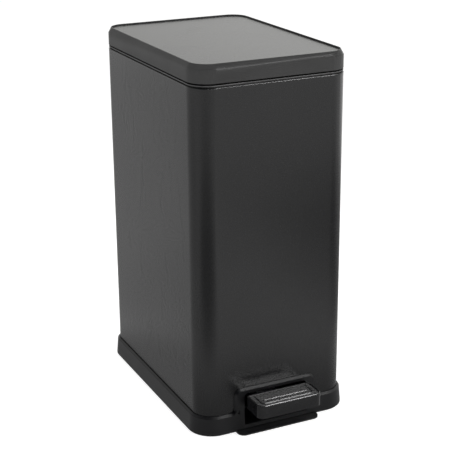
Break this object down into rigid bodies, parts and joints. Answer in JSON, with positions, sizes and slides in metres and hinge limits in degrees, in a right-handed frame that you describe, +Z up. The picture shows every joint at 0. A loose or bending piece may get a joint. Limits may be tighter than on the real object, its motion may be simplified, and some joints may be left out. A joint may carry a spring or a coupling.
{
  "type": "pedal trash can",
  "caption": "Tall rectangular steel pedal can with rounded corners, a hinged lid, a lift-out liner, and a front pedal that raises the lid through a push rod.",
  "frame": {"origin": "bottom centre of the whole can's bounding box, on the floor under its feet", "axes": "+Z up, -Y towards the pedal, X across the can"},
  "size_m": [0.28, 0.466, 0.61],
  "materials": {
    "painted_shell": "satin black powder coat on sheet steel",
    "lid_top": "smooth satin black sheet steel",
    "black_plastic": "fine-grained black moulding",
    "pedal_plastic": "polished black moulding",
    "liner_plastic": "dark grey moulding, lightly textured",
    "rubber": "matt black",
    "zinc_steel": "zinc plated",
    "bright_steel": "ground rod and wire",
    "nylon": "natural nylon"
  },
  "bodies": {
    "can_body": {"outer_shell": "painted_shell", "top_collar": "black_plastic", "base_ring": "black_plastic", "floor_pan": "black_plastic", "foot_front_left": "rubber", "foot_front_right": "rubber", "foot_back_left": "rubber", "foot_back_right": "rubber", "base_screws": "zinc_steel", "axle_bracket_left": "black_plastic", "axle_bracket_right": "black_plastic", "pedal_axle": "bright_steel", "axle_clips": "zinc_steel", "hinge_block": "black_plastic", "hinge_cover": "black_plastic", "hinge_pin": "bright_steel", "hinge_backplate": "zinc_steel", "hinge_screws": "zinc_steel", "mechanism_cover": "liner_plastic", "rod_guide_lower": "nylon", "rod_guide_upper": "nylon", "guide_screws": "zinc_steel", "damper_cylinder": "black_plastic", "damper_clip": "nylon", "return_spring": "bright_steel"},
    "lid": {"lid_frame": "painted_shell", "lid_panel": "lid_top", "lid_liner": "liner_plastic", "lid_bracket": "zinc_steel", "crank_pin": "bright_steel", "lid_bumpers": "rubber", "lid_screws": "zinc_steel"},
    "push_rod": {"push_rod": "bright_steel", "rod_fork": "zinc_steel", "rod_foot": "zinc_steel", "rod_collar": "zinc_steel", "damper_piston": "bright_steel", "damper_yoke": "zinc_steel"},
    "pedal": {"pedal_lever": "zinc_steel", "lever_bush_left": "nylon", "lever_bush_right": "nylon", "lever_pin": "bright_steel", "pedal_shell": "pedal_plastic", "pedal_tread": "rubber", "pedal_screws": "zinc_steel"},
    "liner": {"inner_bucket": "liner_plastic"}
  },
  "joints": [
    {"name": "lid_hinge", "type": "hinge", "parent": "can_body", "child": "lid", "pos_m": [0, 0.2235, 0.571], "axis": [-1, 0, 0], "range_deg": [0, 78]},
    {"name": "rod_lift", "type": "slide", "parent": "can_body", "child": "push_rod", "axis": [0, 0, 1], "range_m": [0, 0.034], "stiffness_N_per_m": 60, "springref_m": -0.03, "deforming": ["return_spring"]},
    {"name": "pedal_pivot", "type": "hinge", "parent": "can_body", "child": "pedal", "pos_m": [0, -0.009, 0.03], "axis": [1, 0, 0], "range_deg": [0, 9.35]},
    {"name": "liner_lift", "type": "slide", "parent": "can_body", "child": "liner", "axis": [0, 0, 1], "range_m": [0, 0.008]}
  ],
  "couplings": [
    {"joint": "rod_lift", "follows": "lid_hinge", "m_per_rad": 0.024975},
    {"joint": "pedal_pivot", "follows": "lid_hinge", "ratio": 0.11992}
  ]
}
